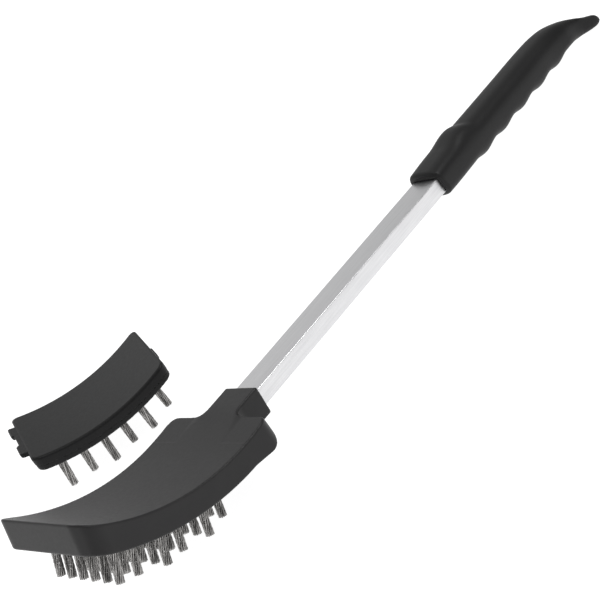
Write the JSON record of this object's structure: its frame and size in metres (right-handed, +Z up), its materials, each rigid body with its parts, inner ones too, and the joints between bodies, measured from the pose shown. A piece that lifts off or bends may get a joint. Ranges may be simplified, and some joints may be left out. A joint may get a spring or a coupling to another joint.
{
  "type": "grill cleaning brush",
  "caption": "Long grill cleaning brush: curved head with a push-in wire bundle cartridge, flat aluminium tube, contoured grip, and a spare cartridge beside it.",
  "frame": {"origin": "centre of the underside of the whole set's box, on the surface that the brush and its spare cartridge stand on", "axes": "+Z up; +X along the handle from the head to the grip; +Y from the brush towards the spare cartridge"},
  "size_m": [0.5232, 0.2346, 0.0682],
  "materials": {
    "head_plastic": "charcoal black moulded polypropylene, fine satin",
    "grip_plastic": "black moulded grip, soft satin",
    "cartridge_plastic": "black moulded polypropylene, satin",
    "plug_plastic": "plain grey moulded plastic, hidden inside the tube",
    "tube_aluminium": "satin anodised, fine lengthwise grain",
    "bristle_steel": "twisted stainless wire rope",
    "fastener_steel": "plated steel"
  },
  "bodies": {
    "brush": {"head_shell": "head_plastic", "handle_tube": "tube_aluminium", "tube_plug_head": "plug_plastic", "tube_plug_grip": "plug_plastic", "grip": "grip_plastic", "neck_screw_front": "fastener_steel", "neck_screw_rear": "fastener_steel", "grip_screw": "fastener_steel"},
    "cartridge": {"cartridge_cover": "cartridge_plastic", "cartridge_base": "cartridge_plastic", "wire_bundle_row1_1": "bristle_steel", "wire_bundle_row1_2": "bristle_steel", "wire_bundle_row1_3": "bristle_steel", "wire_bundle_row1_4": "bristle_steel", "wire_bundle_row1_5": "bristle_steel", "wire_bundle_row1_6": "bristle_steel", "wire_bundle_row2_1": "bristle_steel", "wire_bundle_row2_2": "bristle_steel", "wire_bundle_row2_3": "bristle_steel", "wire_bundle_row2_4": "bristle_steel", "wire_bundle_row2_5": "bristle_steel", "wire_bundle_row3_1": "bristle_steel", "wire_bundle_row3_2": "bristle_steel", "wire_bundle_row3_3": "bristle_steel", "wire_bundle_row3_4": "bristle_steel", "wire_bundle_row3_5": "bristle_steel", "wire_bundle_row3_6": "bristle_steel", "wire_bundle_row4_1": "bristle_steel", "wire_bundle_row4_2": "bristle_steel", "wire_bundle_row4_3": "bristle_steel", "wire_bundle_row4_4": "bristle_steel", "wire_bundle_row4_5": "bristle_steel", "wire_bundle_row5_1": "bristle_steel", "wire_bundle_row5_2": "bristle_steel", "wire_bundle_row5_3": "bristle_steel", "wire_bundle_row5_4": "bristle_steel", "wire_bundle_row5_5": "bristle_steel", "wire_bundle_row5_6": "bristle_steel", "wire_bundle_row6_1": "bristle_steel", "wire_bundle_row6_2": "bristle_steel", "wire_bundle_row6_3": "bristle_steel", "wire_bundle_row6_4": "bristle_steel", "wire_bundle_row6_5": "bristle_steel", "anchor_strip_row1": "fastener_steel", "anchor_strip_row2": "fastener_steel", "anchor_strip_row3": "fastener_steel", "anchor_strip_row4": "fastener_steel", "anchor_strip_row5": "fastener_steel", "anchor_strip_row6": "fastener_steel"},
    "spare_cartridge": {"spare_cover": "cartridge_plastic", "spare_base": "cartridge_plastic", "spare_bundle_row1": "bristle_steel", "spare_bundle_row2": "bristle_steel", "spare_bundle_row3": "bristle_steel", "spare_bundle_row4": "bristle_steel", "spare_bundle_row5": "bristle_steel", "spare_bundle_row6": "bristle_steel"}
  },
  "joints": [
    {"name": "cartridge_pull_out", "type": "slide", "parent": "brush", "child": "cartridge", "axis": [-0.3686, 0, -0.9296], "range_m": [0, 0.045]},
    {"name": "spare_lift", "type": "slide", "parent": "brush", "child": "spare_cartridge", "axis": [0, 0, 1], "range_m": [0, 0.12]}
  ]
}
